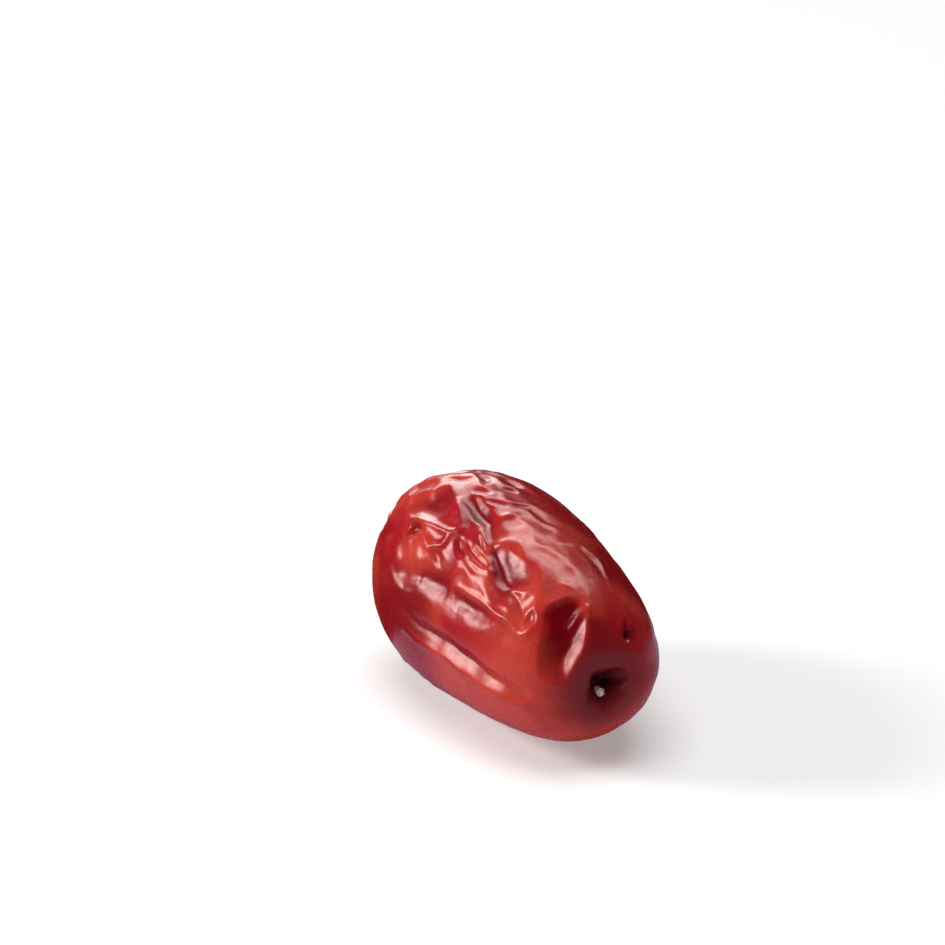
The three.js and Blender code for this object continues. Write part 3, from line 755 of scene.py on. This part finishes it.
def stalk_material(settings):
    """Dry pale fibre, streaked along the stalk."""
    material, nodes, links, shader = new_material("jujube_stalk")
    place = nodes.new("ShaderNodeTexCoord").outputs["Object"]
    fibres = stretched_noise(nodes, links, place, FIBRE_STRETCH, Scale=FIBRE_SCALE, Detail=3.0)
    share = map_range(nodes, links, fibres, *FIBRE_CHANGE)
    colour = mix_colour(nodes, links, share, tuple(settings.dark), tuple(settings.pale))
    links.new(colour, shader.inputs["Base Color"])
    add_bump(nodes, links, shader, fibres, FIBRE_STRENGTH, FIBRE_DEPTH * MM)
    set_inputs(shader, Roughness=0.75)
    return material


def skin_mesh():
    mesh = bpy.data.meshes.new("fruit_skin")
    mesh.from_pydata((SKIN_POINTS + FORM_MIDDLE) * MM, [], skin_faces())
    for name, values in SKIN_LAYERS.items():
        layer = mesh.attributes.new(name, "FLOAT", "POINT")
        layer.data.foreach_set("value", values.astype(np.float32))
    return mesh


def group_input(tree, name, kind, value=None):
    socket = tree.interface.new_socket(name, in_out="INPUT", socket_type=kind)
    if value is not None:
        socket.default_value = value
    return socket


def calculate(nodes, links, operation, first, second):
    node = nodes.new("ShaderNodeMath")
    node.operation = operation
    for socket, value in zip(node.inputs, (first, second)):
        feed(links, socket, value)
    return node.outputs[0]


def net_height(nodes, links, given, place, name, kind):
    """Height of one layer of wrinkles, to both sides of the skin, from the tree's own inputs."""
    noise = add_node(nodes, "ShaderNodeTexNoise", Detail=2.0, Roughness=0.5)
    noise.noise_dimensions = "4D"
    noise.noise_type = kind
    noise.normalize = True
    links.new(place, noise.inputs["Vector"])
    links.new(given.outputs[name + " scale"], noise.inputs["Scale"])
    links.new(given.outputs["Seed"], noise.inputs["W"])
    centred = calculate(nodes, links, "SUBTRACT", noise.outputs["Fac"], 0.5)
    return calculate(nodes, links, "MULTIPLY", centred, given.outputs[name + " depth"])


def wrinkle_net_tree(settings, material):
    """Geometry nodes that press a fine net of wrinkles into the skin along its normals."""
    tree = bpy.data.node_groups.new("fine_wrinkle_net", "GeometryNodeTree")
    tree.is_modifier = True
    group_input(tree, "Geometry", "NodeSocketGeometry")
    inputs = {
        "Crumple depth": settings.crumple_depth,
        "Crumple scale": settings.crumple_scale,
        "Net depth": settings.net_depth,
        "Net scale": settings.net_scale,
        "Seed": settings.net_seed,
    }
    sockets = {name: group_input(tree, name, "NodeSocketFloat", value) for name, value in inputs.items()}
    tree.interface.new_socket("Geometry", in_out="OUTPUT", socket_type="NodeSocketGeometry")
    nodes, links = tree.nodes, tree.links
    given = nodes.new("NodeGroupInput")
    place = nodes.new("GeometryNodeInputPosition").outputs["Position"]
    crumple = net_height(nodes, links, given, place, "Crumple", "FBM")
    net = net_height(nodes, links, given, place, "Net", "RIDGED_MULTIFRACTAL")
    wrinkled = nodes.new("GeometryNodeInputNamedAttribute")
    wrinkled.inputs["Name"].default_value = "wrinkled"
    height = calculate(nodes, links, "ADD", crumple, net)
    height = calculate(nodes, links, "MULTIPLY", height, wrinkled.outputs["Attribute"])
    press = nodes.new("ShaderNodeVectorMath")
    press.operation = "SCALE"
    links.new(nodes.new("GeometryNodeInputNormal").outputs["Normal"], press.inputs[0])
    links.new(height, press.inputs["Scale"])
    moved = nodes.new("GeometryNodeSetPosition")
    links.new(given.outputs["Geometry"], moved.inputs["Geometry"])
    links.new(press.outputs[0], moved.inputs["Offset"])
    realized = nodes.new("GeometryNodeRealizeInstances")
    links.new(moved.outputs["Geometry"], realized.inputs["Geometry"])
    finished = nodes.new("GeometryNodeSetMaterial")
    finished.inputs["Material"].default_value = material
    links.new(realized.outputs["Geometry"], finished.inputs["Geometry"])
    links.new(finished.outputs["Geometry"], nodes.new("NodeGroupOutput").inputs["Geometry"])
    return tree, {sockets[name].identifier: value for name, value in inputs.items()}


def apply_nodes(piece, tree, values):
    """Runs the tree on the piece and keeps its result as a plain mesh."""
    modifier = piece.modifiers.new(tree.name, "NODES")
    modifier.node_group = tree
    for identifier, value in values.items():
        modifier[identifier] = value
    graph = bpy.context.evaluated_depsgraph_get()
    finished = piece.evaluated_get(graph)
    mesh = bpy.data.meshes.new_from_object(finished, preserve_all_data_layers=True, depsgraph=graph)
    piece.modifiers.remove(modifier)
    piece.data = mesh


class JUJUBE_OT_fruit(bpy.types.Operator):
    """Build the shrivelled fruit"""

    bl_idname = "jujube.fruit"
    bl_label = "Fruit"

    def execute(self, context):
        settings = context.scene.jujube_fruit
        piece = new_object("fruit_skin", skin_mesh())
        apply_nodes(piece, *wrinkle_net_tree(settings, skin_material(settings)))
        piece.data.shade_smooth()
        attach(piece, "root")
        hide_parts("fruit")
        return {"FINISHED"}


def stub_points():
    """The foot's middle, the rings up the stub, and the sunk middle of its broken end."""
    low, high = (np.array(corner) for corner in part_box("stalk_stub"))
    drop = math.radians(STALK_END_DROP)
    axis = np.array([math.cos(drop), 0.0, -math.sin(drop)])
    side = np.array([0.0, 1.0, 0.0])
    up = np.cross(axis, side)
    length = (high[0] - low[0]) * STUB_LENGTH_SHARE
    radius = (high[1] - low[1]) / 2 * STUB_RADIUS_SHARE
    foot = (low + high) / 2 - axis * length / 2
    draws = Draws(STUB_SEED)
    ragged = [draws.between(-STUB_RAGGED, STUB_RAGGED) for _ in range(STUB_SIDES)]
    points = [foot]
    for ring in range(STUB_RINGS):
        share = ring / (STUB_RINGS - 1)
        waist = 1 - STUB_WAIST * math.sin(math.pi * share)
        for column in range(STUB_SIDES):
            turned = 2 * math.pi * column / STUB_SIDES
            ribbed = 1 + STUB_RIB_SHARE * ragged[column] - STUB_RIB_INSET
            rim = 1 + (STUB_RIM_SHARE * ragged[column] - STUB_RIM_INSET) * share
            out = math.cos(turned) * side + math.sin(turned) * up
            points.append(foot + axis * length * share * rim + out * radius * waist * ribbed)
    return points + [foot + axis * length * STUB_HEART_SHARE]


def stub_faces():
    """A fan at the foot, quads up the sides, and a fan down to the sunk middle of the broken end."""
    last = 1 + STUB_RINGS * STUB_SIDES
    faces = []
    for column in range(STUB_SIDES):
        following = (column + 1) % STUB_SIDES
        faces.append((0, 1 + following, 1 + column))
        for ring in range(STUB_RINGS - 1):
            near, far = 1 + ring * STUB_SIDES, 1 + (ring + 1) * STUB_SIDES
            faces.append((near + column, near + following, far + following, far + column))
        faces.append((last, last - STUB_SIDES + column, last - STUB_SIDES + following))
    return faces


def stub_mesh():
    mesh = bpy.data.meshes.new("stalk_stub_fibre")
    mesh.from_pydata(stub_points(), [], stub_faces())
    return mesh


class JUJUBE_OT_stalk_stub(bpy.types.Operator):
    """Build the dry stub of the stalk"""

    bl_idname = "jujube.stalk_stub"
    bl_label = "Stalk stub"

    def execute(self, context):
        piece = new_object("stalk_stub_fibre", stub_mesh())
        piece.data.materials.append(stalk_material(context.scene.jujube_stalk))
        piece.data.shade_smooth()
        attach(piece, "root")
        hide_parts("stalk_stub")
        return {"FINISHED"}


def direction(azimuth, elevation):
    """From the fruit towards a viewer or light; azimuth 0 looks along +Y."""
    turned, raised = math.radians(azimuth), math.radians(elevation)
    level = math.cos(raised)
    return Vector((math.sin(turned) * level, -math.cos(turned) * level, math.sin(raised)))


def aimed(towards):
    return towards.to_track_quat("Z", "Y").to_euler()


def add_camera():
    """The camera at the photograph's viewing angle, framed so that the fruit falls on its own pixels."""
    back = direction(CAMERA_AZIMUTH, CAMERA_ELEVATION)
    turned = math.radians(CAMERA_AZIMUTH)
    right = Vector((math.cos(turned), math.sin(turned), 0.0))
    up = back.cross(right)
    aside = (FORM_PIXEL[0] - PICTURE_SIDE / 2) / PIXELS_PER_MM * MM
    below = (FORM_PIXEL[1] - PICTURE_SIDE / 2) / PIXELS_PER_MM * MM
    aim = Vector(FORM_MIDDLE * MM) - right * aside + up * below
    data = bpy.data.cameras.new("camera")
    data.sensor_width = SENSOR
    data.lens = PIXELS_PER_MM * CAMERA_DISTANCE * SENSOR / PICTURE_SIDE
    data.clip_start = CAMERA_NEAREST * MM
    camera = new_object("camera", data)
    camera.location = aim + back * CAMERA_DISTANCE * MM
    camera.rotation_euler = aimed(back)
    bpy.context.scene.camera = camera


def add_light(name, azimuth, elevation, away, size, power):
    data = bpy.data.lights.new(name, "AREA")
    data.shape = "RECTANGLE"
    data.size, data.size_y = size
    data.energy = power
    light = new_object(name, data)
    towards = direction(azimuth, elevation)
    light.location = Vector((0.0, 0.0, AIM_HEIGHT)) + towards * away
    light.rotation_euler = aimed(towards)
    return light


def square(name, x, y, z, half):
    left, right, front, back = x - half, x + half, y - half, y + half
    mesh = bpy.data.meshes.new(name)
    corners = [(left, front, z), (right, front, z), (right, back, z), (left, back, z)]
    mesh.from_pydata(corners, [], [(0, 1, 2, 3)])
    return new_object(name, mesh)


def add_card(settings):
    """A grey card beside the fruit that only its reflections show."""
    card = square("bounce_card", CARD_HALF_SIDE + CARD_EDGE, CARD_MIDDLE, CARD_LIFT, CARD_HALF_SIDE)
    material, _, _, shader = new_material("card_grey")
    set_inputs(shader, Base_Color=settings.card_colour, Roughness=PAPER_ROUGHNESS)
    card.data.materials.append(material)
    card.visible_camera = card.visible_diffuse = card.visible_shadow = False


def add_floor(settings):
    floor = square("floor", 0.0, 0.0, 0.0, FLOOR_HALF_SIDE)
    material, nodes, links, shader = new_material("floor_paper")
    tooth = add_node(nodes, "ShaderNodeTexNoise", Scale=TOOTH_SCALE, Detail=2.0)
    links.new(nodes.new("ShaderNodeTexCoord").outputs["Object"], tooth.inputs["Vector"])
    add_bump(nodes, links, shader, tooth.outputs["Fac"], TOOTH_STRENGTH, TOOTH_DEPTH)
    set_inputs(
        shader, Base_Color=settings.floor_colour, Emission_Color=(1.0, 1.0, 1.0, 1.0),
        Emission_Strength=settings.floor_glow, Roughness=PAPER_ROUGHNESS, Specular_IOR_Level=0.1)
    floor.data.materials.append(material)
    floor.visible_glossy = False


def add_lights(settings):
    """A soft key light at the left, two lights behind for the sheen alone, and one overhead without any."""
    add_light(
        "key_light", azimuth=-33.0, elevation=24.0, away=0.8, size=(0.27, 0.27), power=settings.key_power)
    back = add_light(
        "back_light", azimuth=231.0, elevation=54.0, away=1.0, size=(0.75, 0.5), power=settings.back_power)
    far_power = settings.back_power * FAR_LIGHT_SHARE
    far = add_light("far_light", azimuth=254.0, elevation=25.0, away=1.0, size=(0.45, 0.5), power=far_power)
    back.visible_diffuse = far.visible_diffuse = False
    top = add_light(
        "top_light", azimuth=60.0, elevation=85.0, away=1.0, size=(0.9, 0.9), power=settings.top_power)
    top.visible_glossy = False


def add_world():
    """Dim even surroundings that no reflection shows."""
    world = bpy.data.worlds.new("studio")
    world.use_nodes = True
    background = world.node_tree.nodes["Background"]
    set_inputs(background, Color=(1.0, 1.0, 1.0, 1.0), Strength=SURROUNDINGS_STRENGTH)
    world.cycles_visibility.glossy = False
    bpy.context.scene.world = world


class JUJUBE_OT_stage(bpy.types.Operator):
    """Set the floor, the lights and the camera"""

    bl_idname = "jujube.stage"
    bl_label = "Stage"

    def execute(self, context):
        settings = context.scene.jujube_stage
        add_world()
        add_floor(settings)
        add_card(settings)
        add_lights(settings)
        add_camera()
        context.scene.view_settings.view_transform = "Standard"
        return {"FINISHED"}


class JUJUBE_PT_parts(bpy.types.Panel):
    """Lists the pieces of the jujube"""

    bl_label = "Jujube"
    bl_space_type = "VIEW_3D"
    bl_region_type = "UI"
    bl_category = "Jujube"

    def draw(self, context):
        for operator in OPERATORS:
            self.layout.operator(operator.bl_idname)


OPERATORS = (JUJUBE_OT_fruit, JUJUBE_OT_stalk_stub, JUJUBE_OT_stage)
SETTINGS = {"jujube_fruit": FruitSettings, "jujube_stalk": StalkSettings, "jujube_stage": StageSettings}
CLASSES = (*SETTINGS.values(), *OPERATORS, JUJUBE_PT_parts)


def register():
    for kind in CLASSES:
        bpy.utils.register_class(kind)
    for name, kind in SETTINGS.items():
        setattr(bpy.types.Scene, name, bpy.props.PointerProperty(type=kind))


def unregister():
    for name in SETTINGS:
        delattr(bpy.types.Scene, name)
    for kind in reversed(CLASSES):
        bpy.utils.unregister_class(kind)


def main():
    register()
    bpy.ops.jujube.fruit()
    bpy.ops.jujube.stalk_stub()
    bpy.ops.jujube.stage()


if __name__ == "__main__":
    main()
